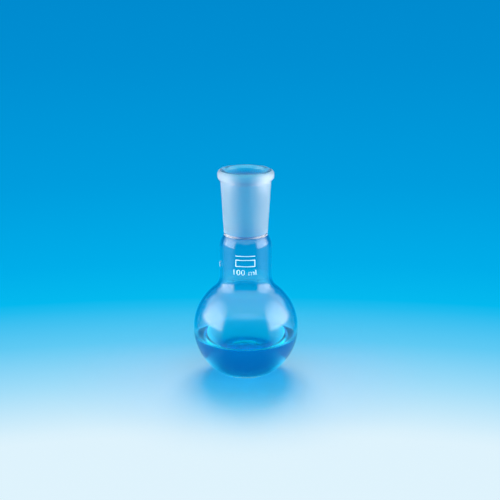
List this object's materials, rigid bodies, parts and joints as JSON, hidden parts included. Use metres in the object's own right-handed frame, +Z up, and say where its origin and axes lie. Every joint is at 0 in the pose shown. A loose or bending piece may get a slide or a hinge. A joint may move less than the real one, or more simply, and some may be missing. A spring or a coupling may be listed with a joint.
{
  "type": "flat bottom boiling flask",
  "caption": "Clear glass flat-bottom boiling flask with a round bulb, a straight neck and a ground conical joint with a rolled rim, part filled with a blue solution.",
  "frame": {"origin": "centre of the flask's base, on the plane it stands on", "axes": "+Z up along the flask's axis, from the base to the rim; the flask is round, so +X and +Y are free"},
  "size_m": [0.0656, 0.0656, 0.1297],
  "materials": {
    "glass": "clear fire-polished borosilicate glass, ground matt inside the joint",
    "solution": "clear cyan-blue liquid"
  },
  "bodies": {
    "root": {"flask": "glass", "solution": "solution"}
  },
  "joints": []
}
